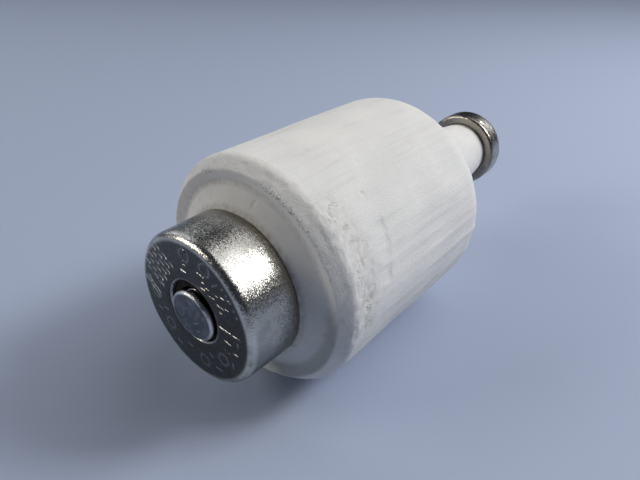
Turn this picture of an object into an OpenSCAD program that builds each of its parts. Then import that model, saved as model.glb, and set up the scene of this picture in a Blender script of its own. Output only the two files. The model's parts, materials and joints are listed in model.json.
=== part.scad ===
// Cartridge fuse-link with a bottle-shaped porcelain body, lying on its barrel.
// Each piece is drawn standing on the foot contact's end face, z up to the head, and is then laid down,
// so that the long axis is Y, the head faces -Y, and the origin is the centre of the foot contact's end face.

/* [Overall] */
// Length from the foot contact's end face to the head cap's end face
overall_length = 49; // [48.6:0.1:50.5]

/* [Porcelain body] */
// Radius of the barrel
barrel_r = 11.25; // [10.9:0.05:12]
// Height of the barrel's rear shoulder over the foot face
shoulder_z = 18.5; // [18:0.1:20]
// Radius that rounds the rear shoulder
shoulder_round = 3.06; // [1:0.02:4]
// Height of the barrel's front edge over the foot face
barrel_front_z = 41.8; // [41.4:0.1:42.2]
// Radius of the neck where it leaves the shoulder
neck_root_r = 5.2; // [4.8:0.1:5.6]
// Radius of the neck at the foot contact
neck_end_r = 3.6; // [3.4:0.05:3.7]
// Radius of the main bore, which holds the sand
bore_r = 5; // [4.8:0.1:5.4]
// Radius of the narrow bore in the neck
neck_bore_r = 2.2; // [2.1:0.05:2.4]

/* [Contacts] */
// Outer radius of the head cap
head_cap_r = 7.05; // [7:0.05:7.4]
// Thickness of the head cap's sheet
head_sheet = 0.4; // [0.3:0.05:0.45]
// Outer radius of the foot cap
foot_cap_r = 4.8; // [4.7:0.05:5]
// Height of the foot cap
foot_cap_height = 2.9; // [2.8:0.05:3]
// Thickness of the foot cap's end
foot_end = 0.5; // [0.4:0.05:0.5]

/* [Indicator] */
// Radius of the indicator disc
disc_r = 2.4; // [2:0.05:2.5]
// How far the disc stands proud of the head cap
disc_proud = 0.25; // [0.2:0.05:0.6]
// Radius of the hole that shows the disc
disc_hole_r = 2.8; // [2.65:0.05:2.9]
// Turns of the spring
spring_turns = 5; // [3:1:5]
// Radius of the spring's wire
spring_wire_r = 0.18; // [0.1:0.02:0.2]

/* [Fuse strips] */
// Distance of each strip from the axis in the main bore
strip_offset = 4.2; // [4:0.05:4.3]
// Distance of each strip from the axis in the neck
strip_neck_offset = 1.1; // [0.9:0.05:1.2]
// Width of a strip
strip_width = 1.8; // [1.2:0.1:2]
// Number of necked places along a strip
strip_notches = 5; // [3:1:6]

/* [Hidden] */
$fn = 48;
eps = 0.01;
clearance = 0.05;

// Stack under the head cap's face
head_inner_z = overall_length - head_sheet;
cup_flange = 0.3;
head_plate_t = 0.6;
washer_t = 0.5;
head_plate_top_z = head_inner_z - cup_flange;
head_plate_z = head_plate_top_z - head_plate_t;
collar_top_z = head_plate_z - washer_t;
head_cap_round = 0.65;
collar_r = head_cap_r - head_sheet - clearance;
stack_r = collar_r - clearance;

// Front ring of the porcelain: rounded edge, chamfer, ridge, shallow valley and a cone up to the head cap
ridge_z = barrel_front_z + 1.1;
ridge_r = barrel_r - 1.05;
ridge_flat = 0.25;
valley_z = barrel_front_z + 0.7;
valley_r = barrel_r - 2.25;
cap_seat_z = barrel_front_z + 1.96;
front_round = 0.8;
chamfer_angle = atan2(barrel_r - ridge_r - ridge_flat / 2, ridge_z - barrel_front_z);
front_arc_z = barrel_front_z - front_round * tan(chamfer_angle / 2);
collar_chamfer = 0.3;
root_fillet = 1.2;

// Stack over the foot cap's end
foot_plate_t = 0.4;
foot_washer_t = 0.4;
foot_plate_r = 4.2;
foot_washer_z = foot_end + foot_plate_t;
body_end_z = foot_washer_z + foot_washer_t;
bead_r = 4.35;
bead_chamfer = 0.2;
bead_top_z = body_end_z + 1;
foot_sheet = 0.4;
foot_round = 0.7;
rim_z = foot_cap_height - foot_sheet;
rim_round = 0.3;
foot_solder_top_z = foot_washer_z + 0.8;
foot_solder_r = 1.9;
foot_solder_top_r = 1.7;

// Bore
bore_floor_z = shoulder_z + 3.5;
funnel_z = shoulder_z - 1.5;

// Indicator: the disc over a boss, with the wire soldered under the boss
disc_t = 0.5;
disc_z = overall_length + disc_proud - disc_t;
disc_bevel = 0.12;
boss_r = 1.3;
boss_z = disc_z - 0.64;
dot_z = boss_z - 0.4;
cup_inner_r = 2.15;
cup_wall = 0.25;
cup_floor = 0.3;
cup_flange_r = 3.3;
cup_inner_z = head_inner_z - 2.7;
wire_r = 0.15;
wire_hole_r = wire_r + 0.1;
dot_top_r = 0.4;
dot_base_r = 0.6;
spring_r = 1.7;
spring_sides = 8;
rings_per_turn = 18;

// Strips
strip_t = 0.2;
strip_bend_top_z = shoulder_z + 4.5;
strip_bend_low_z = shoulder_z - 2.5;
strip_notch_r = 0.5;
notch_start_z = strip_bend_top_z + 4;
notch_pitch = 3.6;
overload_z = notch_start_z + 1.5 * notch_pitch;
overload_bead_r = 0.7;
overload_bead_h = 0.4;
solder_dome_r = 0.8;
solder_dome_h = 0.25;

// Stamped ring on the head cap's face
mark_count = 24;
mark_ring_r = 4.9;
mark_depth = 0.12;
stroke_length = 1;
short_stroke = 0.6;
stroke_width = 0.2;
dot_r = 0.35;

// Points of an arc about a centre [r, z]
function arc(centre, radius, from, to, steps = 10) =
    [for (i = [0:steps]) let (a = from + (to - from) * i / steps) centre + radius * [cos(a), sin(a)]];

// Lays a piece drawn along z down along Y, head towards -Y
module laid() {
    rotate([90, 0, 0]) children();
}

module ring(outer_r, inner_r, z, height) {
    translate([0, 0, z])
        difference() {
            cylinder(r = outer_r, h = height);
            translate([0, 0, -eps]) cylinder(r = inner_r, h = height + 2 * eps);
        }
}

// A low dome, the top of a sphere, standing on height 0
module dome(base_r, height) {
    sphere_r = (base_r * base_r + height * height) / (2 * height);
    intersection() {
        translate([0, 0, height - sphere_r]) sphere(r = sphere_r);
        translate([-base_r, -base_r, 0]) cube([2 * base_r, 2 * base_r, height + 1]);
    }
}

module porcelain_body() {
    outer = concat(
        [[neck_bore_r, body_end_z], [bead_r - bead_chamfer, body_end_z], [bead_r, body_end_z + bead_chamfer],
         [bead_r, bead_top_z], [neck_end_r, bead_top_z], [neck_end_r, foot_cap_height]],
        arc([neck_root_r + root_fillet, shoulder_z - root_fillet], root_fillet, 180, 90, 6),
        arc([barrel_r - shoulder_round, shoulder_z + shoulder_round], shoulder_round, -90, 0),
        arc([barrel_r - front_round, front_arc_z], front_round, 0, chamfer_angle, 4),
        [[ridge_r + ridge_flat / 2, ridge_z], [ridge_r - ridge_flat / 2, ridge_z],
         [valley_r, valley_z], [head_cap_r, cap_seat_z], [collar_r, cap_seat_z],
         [collar_r, collar_top_z - collar_chamfer], [collar_r - collar_chamfer, collar_top_z]]);
    inner = [[bore_r, collar_top_z], [bore_r, bore_floor_z], [neck_bore_r, funnel_z]];
    color("whitesmoke") laid() rotate_extrude() polygon(concat(outer, inner));
}

// Generic ring of stamped strokes and dots, with no lettering
module stamped_ring() {
    for (i = [0:mark_count - 1])
        rotate([0, 0, i * 360 / mark_count])
            translate([mark_ring_r, 0, overall_length - mark_depth])
                if (i % 4 == 3) cylinder(r = dot_r, h = 1);
                else
                    translate([-stroke_length / 2, -stroke_width / 2, 0])
                        cube([i % 2 == 0 ? stroke_length : short_stroke, stroke_width, 1]);
}

module head_cap() {
    inner_r = head_cap_r - head_sheet;
    inner_round = head_cap_round - head_sheet;
    profile = concat(
        [[inner_r, cap_seat_z], [head_cap_r, cap_seat_z]],
        arc([head_cap_r - head_cap_round, overall_length - head_cap_round], head_cap_round, 0, 90),
        [[disc_hole_r, overall_length], [disc_hole_r, head_inner_z]],
        arc([inner_r - inner_round, head_inner_z - inner_round], inner_round, 90, 0, 5));
    color("silver") laid()
        difference() {
            rotate_extrude() polygon(profile);
            stamped_ring();
        }
}

module foot_cap() {
    inner_r = foot_cap_r - foot_sheet;
    profile = concat(
        [[0, 0]],
        arc([foot_cap_r - foot_round, foot_round], foot_round, -90, 0),
        arc([foot_cap_r - rim_round, foot_cap_height - rim_round], rim_round, 0, 90, 4),
        [[neck_end_r + clearance, foot_cap_height], [neck_end_r + clearance, rim_z],
         [inner_r, rim_z], [inner_r, foot_end], [0, foot_end]]);
    color("silver") laid() rotate_extrude() polygon(profile);
}

module head_contact_plate() {
    slot_w = strip_t + 2 * clearance;
    slot_l = strip_width + 2 * clearance;
    color("goldenrod") laid()
        difference() {
            ring(stack_r, cup_inner_r + cup_wall + clearance, head_plate_z, head_plate_t);
            for (side = [-1, 1])
                translate([side * strip_offset - slot_w / 2, -slot_l / 2, head_plate_z - eps])
                    cube([slot_w, slot_l, head_plate_t + 2 * eps]);
        }
}

module foot_contact_plate() {
    color("goldenrod") laid() translate([0, 0, foot_end]) cylinder(r = foot_plate_r, h = foot_plate_t);
}

module head_sealing_washer() {
    color("peru") laid() ring(stack_r, bore_r, collar_top_z, washer_t);
}

module foot_sealing_washer() {
    color("peru") laid() ring(foot_plate_r, neck_bore_r, foot_washer_z, foot_washer_t);
}

// Side view of one strip: straight in the main bore, sloping through the funnel, straight in the neck
function strip_side(gap) =
    let (half = strip_t / 2 + gap)
    [[strip_offset - half, head_plate_top_z], [strip_offset - half, strip_bend_top_z],
     [strip_neck_offset - half, strip_bend_low_z], [strip_neck_offset - half, foot_solder_top_z],
     [strip_neck_offset + half, foot_solder_top_z], [strip_neck_offset + half, strip_bend_low_z],
     [strip_offset + half, strip_bend_top_z], [strip_offset + half, head_plate_top_z]];

// The strip on the +X side, grown by a gap on every face but its ends
module strip_blank(gap = 0) {
    width = strip_width + 2 * gap;
    translate([0, width / 2, 0]) rotate([90, 0, 0]) linear_extrude(width) polygon(strip_side(gap));
}

module fuse_strip() {
    difference() {
        strip_blank();
        for (i = [0:strip_notches - 1], edge = [-1, 1])
            translate([strip_offset - 1, edge * strip_width / 2, notch_start_z + i * notch_pitch])
                rotate([0, 90, 0]) cylinder(r = strip_notch_r, h = 2);
    }
}

module fuse_strip_left() {
    color("darksalmon") laid() mirror([1, 0, 0]) fuse_strip();
}

module fuse_strip_right() {
    color("darksalmon") laid() fuse_strip();
}

// Alloy beads that trip each strip on a long overload, on its inner face
module overload_solder_beads() {
    color("gray") laid()
        for (side = [-1, 1])
            translate([side * (strip_offset - strip_t / 2), 0, overload_z])
                rotate([0, -90 * side, 0]) dome(overload_bead_r, overload_bead_h);
}

module head_solder_joints() {
    color("gray") laid()
        for (side = [-1, 1])
            translate([side * strip_offset, 0, head_plate_top_z]) dome(solder_dome_r, solder_dome_h);
}

module foot_solder_joint() {
    color("gray") laid()
        translate([0, 0, foot_washer_z])
            cylinder(r1 = foot_solder_r, r2 = foot_solder_top_r, h = foot_solder_top_z - foot_washer_z);
}

// Sand fills the bore round the strips, the wire and the indicator's cup
module quartz_sand() {
    gap = 0.03;
    bead_room = 0.1;
    fill = [[0, foot_solder_top_z], [neck_bore_r - gap, foot_solder_top_z], [neck_bore_r - gap, funnel_z],
            [bore_r - gap, bore_floor_z], [bore_r - gap, head_plate_z - gap],
            [0, head_plate_z - gap]];
    color("tan") laid()
        difference() {
            rotate_extrude() polygon(fill);
            strip_blank(gap);
            mirror([1, 0, 0]) strip_blank(gap);
            for (side = [-1, 1])
                translate([side * (strip_offset - strip_t / 2 - gap), 0, overload_z])
                    rotate([0, -90 * side, 0])
                        cylinder(r = overload_bead_r + bead_room, h = overload_bead_h + bead_room);
            cylinder(r = wire_r + gap, h = overall_length);
            translate([0, 0, cup_inner_z - cup_floor - gap])
                cylinder(r = cup_inner_r + cup_wall + gap, h = overall_length);
        }
}

module indicator_disc() {
    face_z = disc_z + disc_t;
    profile = [[0, boss_z], [boss_r, boss_z], [boss_r, disc_z], [disc_r, disc_z],
               [disc_r, face_z - disc_bevel], [disc_r - disc_bevel, face_z], [0, face_z]];
    color("lightsteelblue") laid() rotate_extrude() polygon(profile);
}

module indicator_solder_dot() {
    color("gray") laid()
        translate([0, 0, dot_z]) cylinder(r1 = dot_top_r, r2 = dot_base_r, h = boss_z - dot_z);
}

// Centre line of the spring, from the cup's floor up to the disc
function spring_point(t) =
    let (low = cup_inner_z + spring_wire_r + eps, high = disc_z - spring_wire_r - eps)
    [spring_r * cos(360 * spring_turns * t), spring_r * sin(360 * spring_turns * t), low + (high - low) * t];

module indicator_spring() {
    sides = spring_sides;
    rings = rings_per_turn * spring_turns;
    points = [for (i = [0:rings], k = [0:sides - 1])
        let (turn = 360 * spring_turns * i / rings, a = 360 * k / sides)
        spring_point(i / rings) + spring_wire_r * [cos(a) * cos(turn), cos(a) * sin(turn), sin(a)]];
    walls = [for (i = [0:rings - 1], k = [0:sides - 1])
        let (a = i * sides + k, b = i * sides + (k + 1) % sides)
        each [[a, a + sides, b], [b, a + sides, b + sides]]];
    start_cap = [[for (k = [0:sides - 1]) k]];
    end_cap = [[for (k = [sides - 1:-1:0]) rings * sides + k]];
    color("dimgray") laid() polyhedron(points, concat(walls, start_cap, end_cap));
}

// Flanged cup that holds the spring, hung in the head contact plate
module indicator_cup() {
    outer_r = cup_inner_r + cup_wall;
    profile = [[wire_hole_r, cup_inner_z - cup_floor], [outer_r, cup_inner_z - cup_floor],
               [outer_r, head_plate_top_z], [cup_flange_r, head_plate_top_z], [cup_flange_r, head_inner_z],
               [cup_inner_r, head_inner_z], [cup_inner_r, cup_inner_z], [wire_hole_r, cup_inner_z]];
    color("slategray") laid() rotate_extrude() polygon(profile);
}

// Resistance wire that holds the disc down against the spring until it melts
module indicator_wire() {
    color("silver") laid()
        translate([0, 0, foot_solder_top_z]) cylinder(r = wire_r, h = dot_z - foot_solder_top_z);
}

porcelain_body();
head_cap();
foot_cap();
head_contact_plate();
foot_contact_plate();
head_sealing_washer();
foot_sealing_washer();
fuse_strip_left();
fuse_strip_right();
overload_solder_beads();
head_solder_joints();
foot_solder_joint();
quartz_sand();
indicator_disc();
indicator_solder_dot();
indicator_spring();
indicator_cup();
indicator_wire();
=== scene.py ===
"""Looks of a bottle-shaped cartridge fuse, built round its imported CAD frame.

The fuse lies along Y with its head towards -Y and the centre of its foot contact's end face at
the origin. Outlines are written as (radius, height) in millimetres, height being the distance
from the foot face, and angles round the axis go from straight up (0 degrees) towards +X (90).
"""

import itertools
import json
import math

import bmesh
import bpy
import numpy as np
from mathutils import Matrix, Vector


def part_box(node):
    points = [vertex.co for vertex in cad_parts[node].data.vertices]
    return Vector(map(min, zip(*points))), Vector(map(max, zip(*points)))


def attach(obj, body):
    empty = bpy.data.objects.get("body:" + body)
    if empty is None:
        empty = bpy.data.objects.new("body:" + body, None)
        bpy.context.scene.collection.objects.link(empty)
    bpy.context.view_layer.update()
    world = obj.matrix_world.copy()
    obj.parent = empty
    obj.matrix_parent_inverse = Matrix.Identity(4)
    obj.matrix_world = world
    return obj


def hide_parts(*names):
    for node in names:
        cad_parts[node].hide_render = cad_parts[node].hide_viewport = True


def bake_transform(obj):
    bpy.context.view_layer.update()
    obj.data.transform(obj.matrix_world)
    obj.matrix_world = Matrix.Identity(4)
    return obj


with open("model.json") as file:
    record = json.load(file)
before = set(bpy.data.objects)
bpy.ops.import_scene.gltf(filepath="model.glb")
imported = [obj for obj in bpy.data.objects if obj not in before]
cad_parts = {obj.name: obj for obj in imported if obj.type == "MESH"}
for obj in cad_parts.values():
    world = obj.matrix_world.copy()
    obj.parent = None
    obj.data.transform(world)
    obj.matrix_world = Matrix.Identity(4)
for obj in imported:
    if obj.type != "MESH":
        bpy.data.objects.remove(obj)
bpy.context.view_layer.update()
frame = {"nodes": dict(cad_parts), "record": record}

MM = 0.001
SEED = 7


# ---------------------------------------------------------------- sizes, in millimetres

def node_sizes(name):
    """Largest radius, lowest and highest height of a CAD node that is turned about the axis."""
    low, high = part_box(name)
    return high.x / MM, -high.y / MM, -low.y / MM


BARREL_R, BODY_END, COLLAR_TOP = node_sizes("porcelain_body")
CAP_R, CAP_SEAT, CAP_TOP = node_sizes("head_cap")
FOOT_R, FOOT_FACE, FOOT_TOP = node_sizes("foot_cap")
DISC_R, BOSS_END, DISC_TOP = node_sizes("indicator_disc")
BUTTON_R = DISC_R - 0.03
BORE_R = node_sizes("quartz_sand")[0] + 0.03
FLOOR_HEIGHT = -BARREL_R * MM

FRONT_DROP = 1.96  # from the cap's seat back to the barrel's front edge
BARREL_LENGTH = 23.3  # from the front edge back to the barrel's rear face
FRONT_EDGE = CAP_SEAT - FRONT_DROP
SHOULDER = FRONT_EDGE - BARREL_LENGTH
RIDGE_R = BARREL_R - 1.05
RIDGE = FRONT_EDGE + 1.1
NECK_BORE_R = 2.2
BEAD_R = 4.35  # the bead on the neck's end, inside the foot contact
SHEET = 0.4  # thickness of the cap and of the foot contact


# ---------------------------------------------------------------- random surfaces

def value_noise(points, size, seed):
    """Smooth random values between -1 and 1, in lumps of about the given size.

    The values depend only on where the points are; each seed gives its own pattern.
    """
    table = np.random.RandomState(SEED * 1000 + seed).uniform(-1, 1, 4096)
    scaled = points / np.asarray(size, float)
    cell = np.floor(scaled).astype(np.int64)
    part = scaled - cell
    part = part * part * (3 - 2 * part)
    total = np.zeros(len(points))
    for corner in itertools.product((0, 1), repeat=3):
        at = cell + corner
        hashed = at[:, 0] * 73856093 ^ at[:, 1] * 19349663 ^ at[:, 2] * 83492791
        share = np.prod(np.where(corner, part, 1 - part), axis=1)
        total += share * table[hashed % len(table)]
    return total


def smooth(x):
    """0 below 0, 1 above 1, and an S curve between."""
    x = np.clip(x, 0, 1)
    return x * x * (3 - 2 * x)


def band(x, centre, half_width, fade):
    """1 within half_width of the centre, fading to 0 over fade."""
    return 1 - smooth((np.abs(x - centre) - half_width) / fade)


# ---------------------------------------------------------------- turned meshes

def rounded(corners):
    """An outline with its corners rounded: corners holds (radius, height, rounding)."""
    points = []
    for i, (r, z, rounding) in enumerate(corners):
        here = np.array([r, z])
        if not rounding or i in (0, len(corners) - 1):
            points.append((r, z))
            continue
        before = np.array(corners[i - 1][:2]) - here
        after = np.array(corners[i + 1][:2]) - here
        before /= np.linalg.norm(before)
        after /= np.linalg.norm(after)
        half = math.acos(np.clip(before @ after, -1, 1)) / 2
        reach = rounding / math.tan(half)
        middle = before + after
        centre = here + middle / np.linalg.norm(middle) * rounding / math.sin(half)
        points += arc(centre, here + before * reach, here + after * reach, rounding)
    return points


def arc(centre, first, last, radius):
    """Points of the shorter arc from first to last, at most about 11 degrees apart."""
    start = math.atan2(*(first - centre)[::-1])
    end = math.atan2(*(last - centre)[::-1])
    turn = (end - start + math.pi) % (2 * math.pi) - math.pi
    steps = max(4, round(abs(turn) / math.radians(11)))
    return [tuple(centre + radius * np.array([math.cos(a), math.sin(a)]))
            for a in start + turn * np.linspace(0, 1, steps + 1)]


def divided(points, step):
    """The same outline with no stretch longer than step."""
    dense = [points[0]]
    for a, b in zip(points, points[1:]):
        count = max(1, math.ceil(math.dist(a, b) / step))
        way = np.array(b) - np.array(a)
        dense += [tuple(np.array(a) + way * k / count) for k in range(1, count + 1)]
    return dense


class Turned:
    """A fine grid turned about Y from an outline, pressed in or raised before it becomes a mesh.

    The outline runs so that its outside is on the right-hand side, seen with radius to the right
    and height up. A closed outline makes a hollow body; an open one starts and ends on the axis.
    """

    def __init__(self, outline, segments, closed):
        points = np.array(outline, float)
        if closed and np.allclose(points[0], points[-1]):
            points = points[:-1]
        self.closed, self.segments, self.rows = closed, segments, len(points)
        along = np.roll(points, -1, 0) - np.roll(points, 1, 0)
        if not closed:
            along[0], along[-1] = points[1] - points[0], points[-1] - points[-2]
            along[0, 1] = along[-1, 1] = 0
        normal = np.stack([along[:, 1], -along[:, 0]], 1)
        normal /= np.linalg.norm(normal, axis=1)[:, None]
        self.r, self.z = (np.repeat(points[:, i], segments) for i in (0, 1))
        self.normal_r, self.normal_z = (np.repeat(normal[:, i], segments) for i in (0, 1))
        self.theta = np.tile(np.linspace(0, 2 * math.pi, segments, endpoint=False), self.rows)
        self.degrees = (np.degrees(self.theta) + 180) % 360 - 180
        self.depth = np.zeros(self.rows * segments)
        self.marks = {}

    def places(self, r, z):
        """Grid points at radii r and heights z, in the frame's directions."""
        return np.stack([r * np.sin(self.theta), -z, r * np.cos(self.theta)], 1)

    @property
    def points(self):
        """Every grid point in millimetres, as it is before anything is pressed in."""
        return self.places(self.r, self.z)

    def away_from(self, degrees):
        """Each point's angle from the given one, in radians from -pi to pi."""
        return (np.radians(self.degrees - degrees) + math.pi) % (2 * math.pi) - math.pi

    def press(self, depth):
        """Pushes the surface in by depth, in millimetres."""
        self.depth += depth

    def build(self, name):
        """The piece, with the marks stored at its points for the material to read."""
        r = np.maximum(self.r - self.depth * self.normal_r, 0)
        place = self.places(r, self.z - self.depth * self.normal_z) * MM
        index = np.arange(self.rows * self.segments).reshape(self.rows, self.segments)
        if self.closed:
            faces = self.quads(index, np.roll(index, -1, 0))
        else:
            place[index[0]] = place[index[0]].mean(0)
            place[index[-1]] = place[index[-1]].mean(0)
            faces = self.quads(index[1:-2], index[2:-1]) + self.ends(index)
        mesh = bpy.data.meshes.new(name)
        mesh.from_pydata(place.tolist(), [], faces)
        for mark, values in self.marks.items():
            layer = mesh.attributes.new(mark, "FLOAT", "POINT")
            layer.data.foreach_set("value", np.clip(values, 0, 1).astype(np.float32))
        clean(mesh)
        mesh.polygons.foreach_set("use_smooth", [True] * len(mesh.polygons))
        return placed(name, mesh)

    @staticmethod
    def quads(low, high):
        """The faces between two sets of rows."""
        low_next, high_next = np.roll(low, -1, 1), np.roll(high, -1, 1)
        return np.stack([low, low_next, high_next, high], 2).reshape(-1, 4).tolist()

    @staticmethod
    def ends(index):
        """The fans of triangles that close an open outline's two ends on the axis."""
        first, last, count = index[0, 0], index[-1, 0], index.shape[1]
        fans = []
        for j in range(count):
            k = (j + 1) % count
            fans.append((first, index[1, k], index[1, j]))
            fans.append((last, index[-2, j], index[-2, k]))
        return fans


def clean(mesh):
    """Removes points that no face uses and turns every face outwards."""
    work = bmesh.new()
    work.from_mesh(mesh)
    bmesh.ops.delete(work, geom=[v for v in work.verts if not v.link_faces], context="VERTS")
    bmesh.ops.recalc_face_normals(work, faces=work.faces)
    work.to_mesh(mesh)
    work.free()


def placed(name, data):
    """An object in the scene that holds the given mesh, camera or light."""
    made = bpy.data.objects.new(name, data)
    bpy.context.scene.collection.objects.link(made)
    return made


# ---------------------------------------------------------------- shader nodes

def node(tree, kind, inputs=None, **settings):
    """Adds a shader node; an input is a socket to link from or a plain value."""
    made = tree.nodes.new(kind)
    for key, value in settings.items():
        setattr(made, key, value)
    for key, value in (inputs or {}).items():
        if isinstance(value, bpy.types.NodeSocket):
            tree.links.new(value, made.inputs[key])
        else:
            made.inputs[key].default_value = value
    return made


def new_material(name):
    """A material with one Principled shader, its tree, and object coordinates in metres."""
    material = bpy.data.materials.new(name)
    material.use_nodes = True
    tree = material.node_tree
    shader = tree.nodes["Principled BSDF"]
    coordinates = node(tree, "ShaderNodeTexCoord").outputs["Object"]
    return material, tree, shader, coordinates


def grain(tree, coordinates, size, detail=2.0, stretch=1.0, roughness=0.5):
    """Noise from 0 to 1 with lumps of the given size in millimetres, stretched along Y."""
    vector = coordinates
    if stretch != 1.0:
        scale = (1, 1 / stretch, 1)
        mapping = node(tree, "ShaderNodeMapping", {"Vector": coordinates, "Scale": scale})
        vector = mapping.outputs[0]
    inputs = {"Vector": vector, "Scale": 1 / (size * MM), "Detail": detail, "Roughness": roughness}
    return node(tree, "ShaderNodeTexNoise", inputs).outputs[0]


def between(tree, value, low, high, to_low=0.0, to_high=1.0):
    """Maps value from low..high to to_low..to_high, held at the ends."""
    inputs = {"Value": value, "From Min": low, "From Max": high, "To Min": to_low, "To Max": to_high}
    return node(tree, "ShaderNodeMapRange", inputs, clamp=True).outputs[0]


def times(tree, a, b):
    """The product of two values."""
    return node(tree, "ShaderNodeMath", {0: a, 1: b}, operation="MULTIPLY").outputs[0]


def mixed(tree, share, a, b):
    """Colour a where share is 0, colour b where it is 1."""
    made = node(tree, "ShaderNodeMix", {0: share}, data_type="RGBA")
    for slot, colour in ((6, a), (7, b)):
        if isinstance(colour, bpy.types.NodeSocket):
            tree.links.new(colour, made.inputs[slot])
        else:
            made.inputs[slot].default_value = (*colour, 1)
    return made.outputs[2]


def painted(tree, name):
    """A value that the mesh holds at its points."""
    return node(tree, "ShaderNodeAttribute", attribute_name=name).outputs["Fac"]


def bumped(tree, height, depth, under=None):
    """A bump of the given depth in millimetres, over another one if given."""
    inputs = {"Height": height, "Distance": depth * MM, "Strength": 1.0}
    if under is not None:
        inputs["Normal"] = under
    return node(tree, "ShaderNodeBump", inputs).outputs[0]


def flaked(tree, coordinates, size, tilt, under):
    """Tilts the normal of each small flake of metal its own way, so that the surface sparkles."""
    def vector(operation, inputs):
        return node(tree, "ShaderNodeVectorMath", inputs, operation=operation).outputs[0]

    flakes = node(tree, "ShaderNodeTexVoronoi", {"Vector": coordinates, "Scale": 1 / (size * MM)})
    away = vector("SUBTRACT", {0: flakes.outputs["Color"], 1: (0.5, 0.5, 0.5)})
    leaning = vector("ADD", {0: under, 1: vector("SCALE", {0: away, 3: tilt})})
    return vector("NORMALIZE", {0: leaning})


def use(tree, shader, **sockets):
    """Links each given socket to the shader's input of that name, with _ for a space."""
    for name, value in sockets.items():
        tree.links.new(value, shader.inputs[name.replace("_", " ")])


# ---------------------------------------------------------------- materials

def porcelain_material():
    """Unglazed porcelain: faint clouds, drag streaks and specks, and dirt where the mesh has it."""
    material, tree, shader, at = new_material("porcelain")
    cloud = between(tree, grain(tree, at, 4.0, 3.0), 0.35, 0.7)
    colour = mixed(tree, cloud, (0.80, 0.795, 0.78), (0.745, 0.74, 0.73))
    streaks = between(tree, grain(tree, at, 0.6, 3.0, stretch=16.0), 0.5, 0.72)
    streaks = times(tree, streaks, between(tree, grain(tree, at, 5.0, 1.0), 0.42, 0.62, 0.1, 0.5))
    colour = mixed(tree, streaks, colour, (0.63, 0.62, 0.605))
    specks = between(tree, grain(tree, at, 0.22, 3.0, roughness=0.7), 0.66, 0.74, 0.0, 0.5)
    colour = mixed(tree, specks, colour, (0.47, 0.44, 0.40))
    dusty = between(tree, grain(tree, at, 0.5, 4.0), 0.35, 0.6, 0.25, 1.0)
    colour = mixed(tree, times(tree, painted(tree, "grime"), dusty), colour, (0.33, 0.29, 0.24))
    spotty = between(tree, grain(tree, at, 0.2, 3.0, roughness=0.6), 0.54, 0.62)
    colour = mixed(tree, times(tree, painted(tree, "dirt"), spotty), colour, (0.075, 0.06, 0.05))
    rough = between(tree, grain(tree, at, 0.8, 3.0), 0.3, 0.7, 0.52, 0.72)
    drag = bumped(tree, grain(tree, at, 0.35, 3.0, stretch=20.0), 0.03)
    fine = bumped(tree, grain(tree, at, 0.17, 5.0, roughness=0.75), 0.065, drag)
    use(tree, shader, Base_Color=colour, Roughness=rough, Normal=fine)
    shader.inputs["Specular IOR Level"].default_value = 0.35
    return material


# Pale nickel for edges worn bright and for the painted highlight on stamped marks
WORN_AND_HIGHLIT_NICKEL = (0.86, 0.85, 0.82)
# Painted shade: the share of the dark colour kept where the mesh holds painted shade, and how much
# glossier it is there
PAINTED_SHADE_SHARE = 0.15
PAINTED_SHADE_GLOSS = 0.65
MATTE_ROUGHNESS = 0.66


def nickel_material(name, light, dark, tarnish_and_reflection, smoothest, roughest, sparkle):
    """Worn nickel plating: a grain that sparkles, cloudy tarnished patches, raised edges worn
    bright, and painted shade, painted highlights and a painted reflection where the mesh holds them.
    """
    material, tree, shader, at = new_material(name)
    cloud = between(tree, grain(tree, at, 1.6, 4.0), 0.36, 0.66)
    colour = mixed(tree, cloud, light, dark)
    # Tarnished patches, and the painted reflection by the cap's rear rim, where the mesh holds them
    colour = mixed(tree, painted(tree, "tarnish_and_reflection"), colour, tarnish_and_reflection)
    # Painted shade darkens the colour where the mesh holds it
    colour = mixed(tree, painted(tree, "painted_shade"), colour, tuple(PAINTED_SHADE_SHARE * c for c in dark))
    stains = between(tree, grain(tree, at, 0.45, 3.0), 0.62, 0.72, 0.0, 0.35)
    colour = mixed(tree, stains, colour, tarnish_and_reflection)
    # Wear on edges and the painted highlight on stamped marks lighten the colour where the mesh
    # holds them
    colour = mixed(tree, painted(tree, "wear_and_highlight"), colour, WORN_AND_HIGHLIT_NICKEL)
    rough = between(tree, grain(tree, at, 0.12, 3.0), 0.35, 0.68, smoothest, roughest)
    rough = times(tree, rough, between(tree, painted(tree, "painted_shade"), 0, 1, 1, PAINTED_SHADE_GLOSS))
    matte = times(tree, painted(tree, "matte"), MATTE_ROUGHNESS)
    rough = node(tree, "ShaderNodeMath", {0: rough, 1: matte}, operation="MAXIMUM").outputs[0]
    orange_peel = bumped(tree, grain(tree, at, 0.5, 2.0), 0.006)
    pits = bumped(tree, grain(tree, at, 0.09, 2.0, roughness=0.6), 0.008, orange_peel)
    normal = flaked(tree, at, 0.07, sparkle, pits)
    use(tree, shader, Base_Color=colour, Roughness=rough, Normal=normal)
    shader.inputs["Metallic"].default_value = 1.0
    return material


def metal_material(name, light, dark, rough_range, size, depth, stretch=1.0):
    """A plain worked metal with a drawn or rolled grain and slight colour changes."""
    material, tree, shader, at = new_material(name)
    cloud = between(tree, grain(tree, at, size * 6, 3.0, stretch=stretch), 0.35, 0.68)
    colour = mixed(tree, cloud, light, dark)
    spots = between(tree, grain(tree, at, size * 2, 4.0), 0.64, 0.72, 0.0, 0.6)
    colour = mixed(tree, spots, colour, tuple(c * 0.45 for c in dark))
    rough = between(tree, grain(tree, at, size * 2, 3.0, stretch=stretch), 0.3, 0.7, *rough_range)
    normal = bumped(tree, grain(tree, at, size, 4.0, stretch=stretch), depth)
    use(tree, shader, Base_Color=colour, Roughness=rough, Normal=normal)
    shader.inputs["Metallic"].default_value = 1.0
    return material


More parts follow.
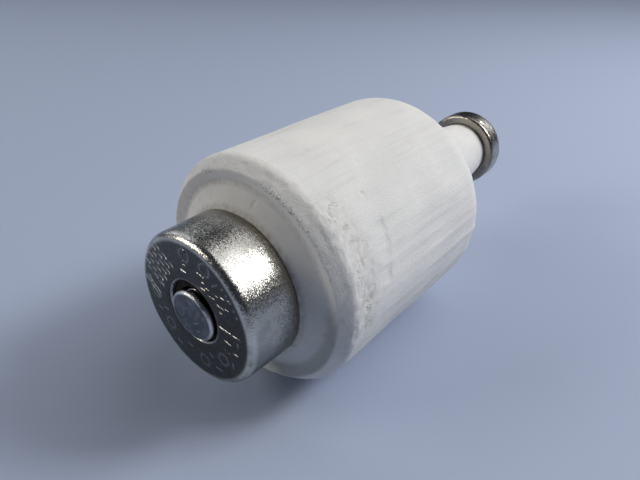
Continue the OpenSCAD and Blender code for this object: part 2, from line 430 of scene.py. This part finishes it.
def fibre_material():
    """Brown pressed fibre with strands and pale flecks."""
    material, tree, shader, at = new_material("fibre")
    strands = grain(tree, at, 0.12, 5.0, stretch=0.3)
    tone = between(tree, strands, 0.35, 0.65)
    colour = mixed(tree, tone, (0.50, 0.35, 0.22), (0.30, 0.20, 0.13))
    flecks = between(tree, grain(tree, at, 0.4, 3.0), 0.62, 0.7, 0.0, 0.7)
    colour = mixed(tree, flecks, colour, (0.66, 0.52, 0.36))
    use(tree, shader, Base_Color=colour, Normal=bumped(tree, strands, 0.03))
    shader.inputs["Roughness"].default_value = 0.85
    return material


def sand_material():
    """Quartz sand: grains of 0.28 mm, each in its own tone and gloss."""
    material, tree, shader, at = new_material("sand")
    grains = node(tree, "ShaderNodeTexVoronoi", {"Vector": at, "Scale": 1 / (0.28 * MM)})
    tone = node(tree, "ShaderNodeSeparateColor", {"Color": grains.outputs["Color"]}).outputs[0]
    colour = mixed(tree, tone, (0.82, 0.77, 0.66), (0.55, 0.47, 0.35))
    dark = between(tree, grain(tree, at, 0.3, 2.0), 0.66, 0.72)
    colour = mixed(tree, dark, colour, (0.24, 0.20, 0.17))
    rough = between(tree, tone, 0.0, 1.0, 0.3, 0.9)
    height = between(tree, grains.outputs["Distance"], 0.0, 0.8, 1.0, 0.0)
    use(tree, shader, Base_Color=colour, Roughness=rough, Normal=bumped(tree, height, 0.1))
    return material


SLOT_MATERIALS = {
    "contact_brass": metal_material(
        "contact_brass", light=(0.80, 0.62, 0.32), dark=(0.62, 0.44, 0.20),
        rough_range=(0.25, 0.45), size=0.12, depth=0.01),
    "strip_copper": metal_material(
        "strip_copper", light=(0.84, 0.55, 0.42), dark=(0.66, 0.36, 0.24),
        rough_range=(0.2, 0.4), size=0.08, depth=0.006, stretch=12.0),
    "solder": metal_material(
        "solder", light=(0.66, 0.67, 0.69), dark=(0.48, 0.48, 0.50),
        rough_range=(0.3, 0.55), size=0.2, depth=0.02),
    "spring_steel": metal_material(
        "spring_steel", light=(0.50, 0.50, 0.52), dark=(0.32, 0.31, 0.31),
        rough_range=(0.22, 0.4), size=0.1, depth=0.006, stretch=3.0),
    "fibre": fibre_material(),
    "sand": sand_material(),
    "porcelain": porcelain_material(),
    "nickel_plate": nickel_material(
        "nickel_plate", light=(0.51, 0.50, 0.47), dark=(0.38, 0.37, 0.35),
        tarnish_and_reflection=(0.20, 0.165, 0.12), smoothest=0.2, roughest=0.32, sparkle=0.22),
    "indicator_metal": nickel_material(
        "indicator_metal", light=(0.25, 0.272, 0.315), dark=(0.14, 0.155, 0.19),
        tarnish_and_reflection=(0.13, 0.13, 0.14), smoothest=0.28, roughest=0.44, sparkle=0.3),
}


def dress(piece, slot):
    """Gives a new piece the material of the record's slot that is named."""
    piece.data.materials.clear()
    piece.data.materials.append(SLOT_MATERIALS[slot])


# ---------------------------------------------------------------- porcelain body

def neck_outline():
    """The foot bead, the neck and the rounded shoulder, up to the barrel's side."""
    neck_end, neck_root, shoulder_round = 3.6, 5.2, 3.06
    bead_top = BODY_END + 1
    return rounded([
        (NECK_BORE_R, BODY_END, 0), (BEAD_R, BODY_END, 0.2), (BEAD_R, bead_top, 0.1),
        (neck_end, bead_top, 0.1), (neck_end, FOOT_TOP, 0.3), (neck_root, SHOULDER - 1.4, 2.5),
        (neck_root + 0.6, SHOULDER, 0.9), (BARREL_R, SHOULDER, shoulder_round),
        (BARREL_R, SHOULDER + 4, 0)])


def front_outline():
    """The barrel's rounded front edge, the ridge and the valley in front of the cap's seat."""
    return rounded([
        (BARREL_R, FRONT_EDGE - 2, 0), (BARREL_R, FRONT_EDGE - 0.1, 1.15),
        (RIDGE_R, RIDGE, 0.28), (BARREL_R - 2.25, FRONT_EDGE + 0.7, 0.7),
        (CAP_R - 0.05, CAP_SEAT - 0.03, 0)])


def porcelain_outline():
    """Closed outline: neck, barrel and front outside, then the collar and the sand's bore."""
    collar_r = CAP_R - SHEET - 0.05
    neck, front = neck_outline(), front_outline()
    bore = [(collar_r, CAP_SEAT), (collar_r, COLLAR_TOP), (BORE_R, COLLAR_TOP),
            (BORE_R, SHOULDER + 3.5), (NECK_BORE_R, SHOULDER - 1.5), (NECK_BORE_R, BODY_END)]
    barrel = divided([neck[-1], front[0]], 0.2)
    return divided(neck, 0.75) + barrel[1:] + divided(front, 0.12)[1:] + divided(bore, 6.0)


def add_pits(grid, count, seed):
    """Small pores over the outside of the barrel and its front ring. Returns where they are."""
    rng = np.random.RandomState(SEED + seed)
    inside = np.zeros(len(grid.r))
    for _ in range(count):
        angle, height = rng.uniform(-180, 180), rng.uniform(SHOULDER + 1, CAP_SEAT)
        size, depth = 0.12 + 0.2 * rng.rand() ** 3, 0.02 + 0.05 * rng.rand() ** 2
        around = grid.away_from(angle) * grid.r
        hole = 1 - smooth(np.hypot(around, (grid.z - height) / rng.uniform(1, 1.8)) / size)
        grid.press(depth * hole * (grid.r > CAP_R))
        inside = np.maximum(inside, hole * rng.uniform(0.0, 0.6))
    return inside


def add_drag_marks(grid, flat, outside):
    """Hand-finished waviness, and long drag marks along the barrel, deeper at the rear right."""
    barrel = band(grid.z, (SHOULDER + FRONT_EDGE) / 2, 10.5, 0.8) * outside
    grid.press(0.03 * (1 + value_noise(grid.points, 5.0, 1)) * outside)
    zone = 0.3 + 0.7 * smooth(value_noise(flat, (7.0, 9.0, 1.0), 2) * 1.6)
    rear_right = band(grid.degrees, 82, 36, 25) * band(grid.z, 27, 7, 5)
    coarse = value_noise(flat, (0.9, 12.0, 1.0), 3)
    fine = value_noise(flat, (0.45, 7.0, 1.0), 4)
    drag = 0.5 + 0.5 * coarse + 0.35 * fine
    grid.press(0.04 * drag * (zone + 1.6 * rear_right) * barrel)


def add_scuffs(grid, flat, outside):
    """Patches of slanting scratches and crumbs behind the front edge. Returns where they are."""
    patches = ((50, 40.4, 7), (74, 39.6, 7), (92, 40.6, 6))
    scuffs = sum(band(grid.degrees, degrees, half_width, 12) * band(grid.z, height, 0.6, 1.6)
                 for degrees, height, half_width in patches)
    lean = 0.8
    slanted = np.stack([flat[:, 0] - lean * flat[:, 1], flat[:, 1] + lean * flat[:, 0],
                        flat[:, 2]], 1)
    scratches = smooth(value_noise(slanted, (0.42, 2.2, 1.0), 5) * 2.5)
    crumbs = smooth(value_noise(grid.points, 0.4, 6) * 2 - 0.3)
    grid.press((0.05 * scratches + 0.06 * crumbs) * scuffs * outside)
    return scuffs


def add_edge_wear(grid, outside):
    """Bites out of the front edge and the ridge. Returns where the edge's bites are."""
    place = grid.points
    edge = band(grid.z, FRONT_EDGE, 0.3, 0.5) * (grid.r > BARREL_R - 0.7) * outside
    bites = edge * smooth((value_noise(place, 0.8, 7) - 0.1) * 1.8)
    grid.press(0.05 * bites)
    ridge = band(grid.r, RIDGE_R, 0.15, 0.35) * (grid.z > FRONT_EDGE + 0.5) * outside
    grid.press(0.035 * ridge * smooth((value_noise(place, 0.45, 8) - 0.1) * 2))
    return bites


def add_crease(grid, flat, outside):
    """A crease round part of the barrel, where it steps down a little. Returns where it is."""
    wander = 0.3 * value_noise(flat, (1.7, 60.0, 1.0), 9)
    wander += 0.2 * value_noise(flat, (0.5, 60.0, 1.0), 10)
    line = 36.0 + 0.6 * smooth((grid.degrees - 58) / 26) + wander
    extent = band(grid.degrees, 70, 13, 5)
    extent = extent * smooth(value_noise(flat, (1.1, 60.0, 1.0), 14) * 2 + 0.8)
    crease = band(grid.z, line, 0.05, 0.2) * extent * outside
    step = smooth((grid.z - line) / 0.16) * band(grid.z, line, 0.6, 1.8)
    grid.press(0.035 * crease + 0.09 * extent * step * outside)
    return crease


def add_nick(grid, outside):
    """One nick in the barrel. Returns where it is."""
    nick = band(grid.degrees, 42, 0.5, 1.1) * band(grid.z, 36.3, 0.1, 0.22) * outside
    grid.press(0.07 * nick)
    return nick


def ridge_dirt(grid):
    """Where dirt sits on the ridge: a few stretches near the top."""
    stretches = ((24, 8, 5, 1.0), (41, 3, 3, 0.7), (60, 8, 5, 0.3), (-24, 3, 3, 0.5))
    dirty = sum(share * band(grid.degrees, degrees, half_width, fade)
                for degrees, half_width, fade, share in stretches)
    return band(grid.r, RIDGE_R - 0.05, 0.1, 0.3) * (grid.z > FRONT_EDGE + 0.5) * dirty


def porcelain_grime(grid, outside):
    """Where grime sits in the front groove, round the cap and round the neck's end."""
    in_front = grid.z > FRONT_EDGE
    groove = band(grid.r, BARREL_R - 2.2, 0.1, 0.35) * in_front * outside
    groove = groove * (0.3 + 0.7 * band(grid.degrees, -5, 45, 35))
    under_cap = band(grid.r, CAP_R, 0.1, 0.5) * in_front
    neck = band(grid.z, FOOT_TOP + 0.3, 0.4, 0.8) * (grid.r < 5)
    return 0.3 * groove + 0.5 * under_cap + 0.35 * neck


def build_porcelain():
    """The barrel, its shoulder and neck, and the ridged ring round the cap's seat."""
    grid = Turned(porcelain_outline(), segments=400, closed=True)
    outside = (grid.r > BARREL_R - 4.3) & (grid.z > SHOULDER - 0.2)
    around = np.radians(grid.degrees) * BARREL_R
    flat = np.stack([around, grid.z, np.zeros_like(grid.z)], 1)

    add_drag_marks(grid, flat, outside)
    scuffs = add_scuffs(grid, flat, outside)
    bites = add_edge_wear(grid, outside)
    crease = add_crease(grid, flat, outside)
    nick = add_nick(grid, outside)
    pores = add_pits(grid, count=110, seed=11)

    scuff_dirt = scuffs * smooth(value_noise(grid.points, 0.8, 13) * 1.5) * outside
    grid.marks["dirt"] = (ridge_dirt(grid) + 0.6 * scuff_dirt + 0.6 * nick
                          + 0.15 * crease + 0.4 * pores)
    grid.marks["grime"] = porcelain_grime(grid, outside) + 0.12 * scuffs * outside + 0.1 * bites

    piece = grid.build("porcelain_bottle")
    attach(piece, "fuse")
    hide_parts("porcelain_body")
    dress(piece, "porcelain")


# ---------------------------------------------------------------- stamped marks

STROKE_WIDTH = 0.15


def stronger(a, b):
    """Whichever of two depths goes further from the plain surface, at each point."""
    return np.where(np.abs(b) > np.abs(a), b, a)


def groove_shape(distance):
    """A stamped groove's depth, with a slight raised burr beside it; distance 1 is its edge."""
    return (1 - smooth(distance)) - 0.25 * band(distance, 1.25, 0.1, 0.4)


def stroke(x, z, start, end, width):
    """How deep a straight stamped stroke is at each point, from 0 to 1."""
    a, b = np.array(start), np.array(end)
    along = b - a
    t = np.clip(((x - a[0]) * along[0] + (z - a[1]) * along[1]) / (along @ along), 0, 1)
    distance = np.hypot(x - a[0] - t * along[0], z - a[1] - t * along[1])
    return groove_shape(distance / (width / 2))


def circle(x, z, centre, radius, width):
    """The same for a stamped circle."""
    distance = np.abs(np.hypot(x - centre[0], z - centre[1]) - radius)
    return groove_shape(distance / (width / 2))


def on_face(degrees, radius):
    """A point of the head's face, in millimetres across and up."""
    return radius * math.sin(math.radians(degrees)), radius * math.cos(math.radians(degrees))


def leaning_stroke(x, z, degrees, radius, length, lean, width=STROKE_WIDTH):
    """A stroke pointing away from the axis, turned by lean degrees."""
    centre = np.array(on_face(degrees, radius))
    way = np.array(on_face(degrees + lean, 1.0)) * length / 2
    return stroke(x, z, centre - way, centre + way, width)


def level_stroke(x, z, degrees, radius, length, slope):
    """A stroke that lies level, or turned by slope degrees."""
    return leaning_stroke(x, z, degrees, radius, length, lean=90 - degrees + slope)


def stamped_block(x, z):
    """Rows of short slanted dashes at the upper left of the face, and two longer lines below."""
    along, across = np.array((0.83, -0.56)), np.array((0.56, 0.83))
    middle = np.array((-3.9, 3.0))
    lines = [((-6.2, 0.95), (-4.75, -0.5)), ((-5.85, 1.15), (-4.5, -0.15))]
    for row, column in itertools.product((-1, 0, 1), range(-3, 4)):
        shift = 0.92 * row + 0.36 * (column % 2) - 0.18
        at = middle + shift * along + 0.54 * column * across
        reach = (0.13 + 0.07 * ((row + column) % 2)) * along
        lines.append((at - reach, at + reach))
    depth = np.zeros(len(x))
    for start, end in lines:
        depth = stronger(depth, stroke(x, z, start, end, width=0.27))
    return depth


RING_CIRCLES = (  # degrees, radius
    (-2, 5.45), (23, 5.5), (135, 4.6), (172, 4.9), (-130, 4.7), (-93, 5.0))
RING_LEVEL = (  # degrees, radius, length, slope
    (-8, 3.9, 0.7, 8), (-4, 4.5, 0.3, 0), (20, 4.7, 0.85, 12), (26, 4.2, 0.3, 0),
    (29, 3.6, 0.55, 5), (34, 4.1, 0.4, 10), (44, 3.9, 0.6, 8), (45, 4.6, 0.4, 12),
    (50, 5.2, 0.45, 8), (54, 5.8, 0.4, 5), (57, 4.3, 0.8, 10), (61, 5.0, 0.4, 0),
    (64, 4.0, 0.3, 8), (88, 4.4, 2.4, 3), (104, 4.1, 0.8, 10), (110, 5.2, 0.45, 0),
    (118, 4.4, 0.7, 15), (152, 5.4, 0.7, 0), (-165, 4.3, 0.6, 10), (-112, 4.2, 0.5, 5))
RING_LEANING = (  # degrees, radius, length, lean
    (38, 5.3, 0.7, 20), (69, 4.6, 0.5, 60), (97, 5.3, 0.4, 80), (126, 5.5, 0.5, 45),
    (155, 4.1, 0.5, -30), (-150, 5.3, 0.6, 80), (-112, 5.2, 0.5, 30), (-76, 4.4, 0.5, 20),
    (-80, 5.6, 0.7, 85))
RING_DOTS = range(44, 74, 6)  # degrees


def stamped_ring(x, z):
    """Strokes, dots and small circles round the indicator: plain marks that spell nothing."""
    depth = np.zeros(len(x))
    for degrees, radius in RING_CIRCLES:
        mark = 0.6 * circle(x, z, on_face(degrees, radius), radius=0.56, width=0.24)
        depth = stronger(depth, mark)
    for degrees, radius, length, slope in RING_LEVEL:
        depth = stronger(depth, level_stroke(x, z, degrees, radius, length, slope))
    for degrees, radius, length, lean in RING_LEANING:
        depth = stronger(depth, leaning_stroke(x, z, degrees, radius, length, lean))
    for degrees in RING_DOTS:
        dot = leaning_stroke(x, z, degrees, radius=5.9, length=0.16, lean=0, width=0.16)
        depth = stronger(depth, dot)
    return depth


# ---------------------------------------------------------------- head cap

def head_cap_outline():
    """Closed outline: the side and its rolled corner, the face, the hole and the inside."""
    inner_r, inner_top = CAP_R - SHEET, CAP_TOP - SHEET
    hole_r = DISC_R + 0.4
    corner_r, rim_top = CAP_R - 1, CAP_SEAT + 0.06
    side = rounded([(CAP_R, rim_top, 0), (CAP_R, CAP_SEAT + 1, 0),
                    (CAP_R - 0.07, CAP_TOP, 0.68), (corner_r, CAP_TOP, 0)])
    face = rounded([(corner_r, CAP_TOP, 0), (hole_r, CAP_TOP, 0.38), (hole_r, inner_top, 0)])
    inner = rounded([(hole_r, inner_top, 0), (inner_r, inner_top, 0.4), (inner_r, CAP_SEAT, 0)])
    rim = [(inner_r, CAP_SEAT), (CAP_R - 0.06, CAP_SEAT), (CAP_R, rim_top)]
    return (divided(side, 0.14) + divided(face, 0.048)[1:]
            + divided(inner, 1.0)[1:] + divided(rim, 0.2)[1:])


def side_dents(grid, count, seed):
    """Small round dents at random places in the cap's side: how deep each point lies in them."""
    rng = np.random.RandomState(SEED + seed)
    dents = np.zeros(len(grid.r))
    for _ in range(count):
        angle, height = rng.uniform(-180, 180), rng.uniform(CAP_SEAT + 0.3, CAP_TOP)
        distance = np.hypot(grid.away_from(angle) * grid.r, grid.z - height)
        dents += rng.uniform(0.2, 1.0) * (1 - smooth(distance / rng.uniform(0.12, 0.4)))
    return dents


def mark_head_cap(grid, face, side, ring, block):
    """Where the cap is worn bright and its stamped marks carry a painted highlight, where painted
    shade darkens it, where it is matte, and where it is tarnished and a painted reflection darkens
    its rear rim.
    """
    place, angle = grid.points, grid.degrees
    corner = band(grid.z - CAP_TOP + grid.r - CAP_R, -0.35, 0.15, 0.2) * (grid.z > CAP_TOP - 0.9)
    # Wear on the rounded corner; on the face, a painted highlight lightens the stamped marks
    grid.marks["wear_and_highlight"] = (0.4 * corner * smooth(value_noise(place, 0.5, 24) + 0.7)
                            + face * (0.5 * ring + block))
    # Painted shade: the face, the underside and a stretch by the top are darker and glossier,
    # standing in for the dark surroundings that they reflect
    painted_shade_face = 0.93 * face * smooth((CAP_R - 0.55 - grid.r) / 0.3)
    painted_shade_side = 0.6 * smooth((np.abs(angle) - 86) / 30) + 0.3 * band(angle, -22, 18, 18)
    grid.marks["painted_shade"] = painted_shade_face + painted_shade_side * side * (1 - face)
    grid.marks["matte"] = face * (block + 0.7 * ring * band(angle, -115, 45, 30))
    # Painted reflection: a dark warm band along the side by the rear rim stands in for the porcelain
    # ring that it reflects; the face's patches are real tarnishing
    rear = band(grid.z, CAP_SEAT, 0.25, 0.7) * side
    grid.marks["tarnish_and_reflection"] = 0.75 * rear + 0.3 * face * smooth(value_noise(place, 1.2, 25))


def build_head_cap():
    """The drawn cap with its stamped face, slightly dished round the indicator's hole."""
    grid = Turned(head_cap_outline(), segments=590, closed=True)
    place = grid.points
    x, z = place[:, 0], place[:, 2]
    face = (grid.normal_z > 0.9) & (grid.z > CAP_TOP - 0.3)
    side = (grid.normal_r > 0.5) & (grid.r > CAP_R - 0.5)

    ring, block = stamped_ring(x, z), stamped_block(x, z)
    crisp = 0.4 + 0.6 * band(grid.degrees, 50, 62, 15)
    grid.press((0.1 * crisp * ring + 0.075 * block) * face)
    grid.press(0.015 * (1 + value_noise(place, 2.6, 21)) * (face | side))
    grid.press(0.003 * (1 + value_noise(place, 0.5, 22)) * (face | side))
    grid.press(0.05 * (1 - smooth((grid.r - DISC_R) / 1.4)) * face)
    grid.press(0.012 * side_dents(grid, count=60, seed=23) * side)
    mark_head_cap(grid, face, side, np.abs(ring), np.abs(block))

    piece = grid.build("head_cap_shell")
    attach(piece, "fuse")
    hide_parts("head_cap")
    dress(piece, "nickel_plate")


# ---------------------------------------------------------------- foot contact

def foot_outline():
    """Open outline: the end face, the side, the rim rolled in behind the bead, and the inside."""
    inner_r = FOOT_R - SHEET
    neck_gap_r, middle_r, inner_face = 3.65, 0.6, 0.5
    outer = rounded([
        (middle_r, FOOT_FACE, 0), (FOOT_R, FOOT_FACE, 0.75), (FOOT_R, FOOT_TOP, 0.35),
        (neck_gap_r, FOOT_TOP, 0.12), (neck_gap_r, FOOT_TOP - SHEET, 0)])
    inner = [(neck_gap_r, FOOT_TOP - SHEET), (inner_r, FOOT_TOP - SHEET),
             (inner_r, inner_face), (middle_r, inner_face), (0, inner_face)]
    return [(0, FOOT_FACE)] + divided(outer, 0.09) + divided(inner, 1.2)[1:]


def build_foot_cap():
    """The foot contact, with a worn ring on its end face and six crimps in its side."""
    grid = Turned(foot_outline(), segments=320, closed=False)
    place = grid.points
    face = (grid.normal_z < -0.9) & (grid.z < 0.3)
    side = (grid.normal_r > 0.3) & (grid.r > FOOT_R - SHEET)
    off_axis = grid.r > 0.7
    wear_ring = band(grid.r, 2.6, 0.35, 0.5) * face
    crimps = band((grid.degrees + 180) % 60 - 30, 0, 2.2, 3.0)
    crimps = crimps * band(grid.z, FOOT_TOP - 0.75, 0.12, 0.2) * side

    grid.press(0.015 * (1 + value_noise(place, 1.8, 31)) * (side | face) * off_axis)
    grid.press(0.05 * wear_ring + 0.02 * smooth(value_noise(place, 0.4, 32)) * face * off_axis)
    grid.press(0.12 * crimps)
    grid.marks["wear_and_highlight"] = 0.35 * wear_ring * smooth(value_noise(place, 0.25, 33) * 0.6 + 0.6)
    grid.marks["tarnish_and_reflection"] = (0.3 * smooth(value_noise(place, 1.1, 34)) * (side | face)
                             + 0.5 * band(grid.z, FOOT_TOP, 0.3, 0.3))

    piece = grid.build("foot_contact_shell")
    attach(piece, "fuse")
    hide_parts("foot_cap")
    dress(piece, "nickel_plate")


# ---------------------------------------------------------------- indicator

BUTTON_SCRATCHES = (  # start, end, width
    ((0.1, -0.6), (0.55, -0.5), 0.2), ((0.55, -0.5), (0.75, -0.25), 0.16),
    ((0.35, -1.35), (0.75, -1.2), 0.24), ((-0.9, 0.5), (-0.3, 0.8), 0.12),
    ((-1.2, -0.4), (-0.9, 0.1), 0.12))
BUTTON_DROP = 0.36
BUTTON_TILT = 2.2  # degrees


def indicator_outline():
    """From the boss's end on the axis, round the disc's edge, to the middle of its face."""
    boss_r, thickness = 1.1, 0.5
    underside, rim_r = DISC_TOP - thickness, BUTTON_R - 0.1
    back = [(0.3, BOSS_END), (boss_r, BOSS_END), (boss_r, underside), (rim_r, underside)]
    front = rounded([(rim_r, underside, 0), (BUTTON_R, underside + 0.1, 0.05),
                     (BUTTON_R, DISC_TOP, 0.24), (0.1, DISC_TOP, 0)])
    return [(0, BOSS_END)] + divided(back, 0.4) + divided(front, 0.05)[1:] + [(0, DISC_TOP)]


def build_indicator():
    """The button lies low in its hole and is a little tilted."""
    grid = Turned(indicator_outline(), segments=360, closed=False)
    place = grid.points
    x, z = place[:, 0], place[:, 2]
    front = grid.z > DISC_TOP - 0.03
    inner = front & (grid.r < BUTTON_R - 0.35) & (grid.r > 0.15)
    grid.press(0.02 * smooth((BUTTON_R - 0.25 - grid.r) / 0.6) * front * (grid.r > 0.05))
    grid.press(0.008 * (1 + value_noise(place, 0.8, 41)) * inner)
    scratches = np.maximum.reduce([stroke(x, z, *scratch) for scratch in BUTTON_SCRATCHES])
    grid.press(0.035 * scratches * inner)
    shoulder = band(grid.r, BUTTON_R - 0.08, 0.08, 0.12) * (grid.z > DISC_TOP - 0.25)
    grid.marks["wear_and_highlight"] = (0.7 * shoulder * smooth(value_noise(place, 0.5, 42) + 0.9)
                            + 0.3 * np.abs(scratches) * inner)
    grid.marks["tarnish_and_reflection"] = 0.8 * smooth(value_noise(place, 0.32, 43) + 0.3) * inner

    piece = grid.build("indicator_button")
    pivot = Matrix.Translation((0, -CAP_TOP * MM, -BUTTON_DROP * MM))
    angle = math.radians(BUTTON_TILT)
    tilt = Matrix.Rotation(angle, 4, "X") @ Matrix.Rotation(angle, 4, "Z")
    piece.data.transform(pivot @ tilt @ Matrix.Translation((0, CAP_TOP * MM, 0)))
    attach(piece, "indicator")
    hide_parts("indicator_disc")
    dress(piece, "indicator_metal")


def coil_mesh(low, high, coil_r, wire_r, turns):
    """A round wire wound about the axis from height low to height high, with flat ends."""
    sides, per_turn = 12, 40
    rings = turns * per_turn
    points, faces = [], []
    for i in range(rings + 1):
        turn = 2 * math.pi * i / per_turn
        height = low + (high - low) * i / rings
        for k in range(sides):
            a = 2 * math.pi * k / sides
            r, z = coil_r + wire_r * math.cos(a), height + wire_r * math.sin(a)
            points.append((r * math.cos(turn) * MM, -z * MM, r * math.sin(turn) * MM))
            if i < rings:
                here, beside = i * sides + k, i * sides + (k + 1) % sides
                faces.append((here, beside, beside + sides, here + sides))
    faces.append(tuple(range(sides)))
    faces.append(tuple(rings * sides + k for k in reversed(range(sides))))
    mesh = bpy.data.meshes.new("indicator_coil")
    mesh.from_pydata(points, [], faces)
    clean(mesh)
    mesh.polygons.foreach_set("use_smooth", [len(p.vertices) == 4 for p in mesh.polygons])
    return mesh


def build_spring():
    """The coil between the cup's floor and the disc."""
    wire_r = 0.18
    _, bottom, top = node_sizes("indicator_spring")
    low, high = bottom + wire_r, top - wire_r
    piece = placed("indicator_coil", coil_mesh(low, high, coil_r=1.7, wire_r=wire_r, turns=5))
    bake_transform(piece)
    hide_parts("indicator_spring")
    dress(piece, "spring_steel")


def dress_inner_pieces():
    """CAD pieces that keep their shape take their slot's material; the cup's brass is painted nearly
    black, as painted shade in the hole.
    """
    for part in frame["record"]["subparts"]:
        piece = frame["nodes"][part["node"]]
        piece.data.materials.clear()
        piece.data.materials.append(SLOT_MATERIALS[part["material_slot"]])
    # Painted shade: the cup is made nearly black so that the hole round the indicator looks dark
    frame["nodes"]["indicator_cup"].data.materials[0] = metal_material(
        "cup_painted_shade", light=(0.05, 0.038, 0.024), dark=(0.02, 0.016, 0.012),
        rough_range=(0.45, 0.7), size=0.12, depth=0.01)


# ---------------------------------------------------------------- stage

VIEW_AZIMUTH = 39.9
VIEW_ELEVATION = 31.2
VIEW_DISTANCE = 48.4 * MM
VIEW_RIGHT = 5.76 * MM
VIEW_UP = 3.03 * MM
LENS = 30.07
SENSOR_WIDTH = 36
CLIP_START, CLIP_END = 0.002, 20  # metres
FUSE_MIDDLE = Vector((0, -28 * MM, 0))
FLOOR_HALF = 3.0  # metres
FLOOR_COLOUR = (0.36, 0.42, 0.56, 1)
WORLD_COLOUR = (0.62, 0.74, 1.0, 1)
WORLD_STRENGTH = 0.03
LIGHTS = (  # name, azimuth, elevation, distance and size in metres, watts, colour
    ("key", 135, 40, 0.28, 0.075, 0.465, (1.0, 0.99, 0.97)),
    ("soft", 145, 52, 0.4, 0.4, 0.77, (1.0, 1.0, 1.0)),
    ("fill", -42, 26, 0.4, 0.16, 0.54, (1.0, 0.955, 0.87)),
    ("side", -95, 35, 0.4, 0.3, 0.3, (0.93, 0.96, 1.0)))


def camera_directions():
    """Right, up and forward of the camera, level with the horizon."""
    a, e = math.radians(VIEW_AZIMUTH), math.radians(VIEW_ELEVATION)
    right = Vector((math.cos(a), math.sin(a), 0))
    forward = Vector((-math.sin(a) * math.cos(e), math.cos(a) * math.cos(e), -math.sin(e)))
    return right, right.cross(forward), forward


def add_camera():
    """Looks at a point to the right of and above the middle of the barrel's front edge."""
    right, up, forward = camera_directions()
    target = Vector((0, -FRONT_EDGE * MM, 0)) + right * VIEW_RIGHT + up * VIEW_UP
    data = bpy.data.cameras.new("camera")
    data.lens, data.sensor_width = LENS, SENSOR_WIDTH
    data.clip_start, data.clip_end = CLIP_START, CLIP_END
    camera = placed("camera", data)
    camera.location = target - forward * VIEW_DISTANCE
    camera.rotation_euler = Matrix((right, up, -forward)).transposed().to_euler()
    bpy.context.scene.camera = camera


def add_light(name, azimuth, elevation, distance, size, watts, colour):
    """A square soft light that faces the fuse's middle; azimuth runs from -Y towards +X.

    The key and the soft light stand behind on the right, and the other two on the left.
    """
    a, e = math.radians(azimuth), math.radians(elevation)
    data = bpy.data.lights.new(name, "AREA")
    data.size, data.energy, data.color = size, watts, colour
    toward = Vector((math.sin(a) * math.cos(e), -math.cos(a) * math.cos(e), math.sin(e)))
    lamp = placed(name, data)
    lamp.location = FUSE_MIDDLE + toward * distance
    lamp.rotation_euler = toward.to_track_quat("Z", "Y").to_euler()


def add_floor():
    """A plain pale floor that the barrel lies on."""
    corners = [(-FLOOR_HALF, -FLOOR_HALF, 0), (FLOOR_HALF, -FLOOR_HALF, 0),
               (FLOOR_HALF, FLOOR_HALF, 0), (-FLOOR_HALF, FLOOR_HALF, 0)]
    mesh = bpy.data.meshes.new("floor")
    mesh.from_pydata(corners, [], [(0, 1, 2, 3)])
    floor = placed("floor", mesh)
    floor.location.z = FLOOR_HEIGHT
    material = bpy.data.materials.new("floor")
    material.use_nodes = True
    shader = material.node_tree.nodes["Principled BSDF"]
    shader.inputs["Base Color"].default_value = FLOOR_COLOUR
    shader.inputs["Roughness"].default_value = 0.95
    floor.data.materials.append(material)


def add_world():
    """Faint even light from all round."""
    world = bpy.data.worlds.new("studio")
    world.use_nodes = True
    background = world.node_tree.nodes["Background"]
    background.inputs["Color"].default_value = WORLD_COLOUR
    background.inputs["Strength"].default_value = WORLD_STRENGTH
    bpy.context.scene.world = world


add_camera()
build_porcelain()
build_head_cap()
build_foot_cap()
build_indicator()
build_spring()
dress_inner_pieces()
add_floor()
add_world()
for light in LIGHTS:
    add_light(*light)
bpy.context.scene.view_settings.view_transform = "Standard"
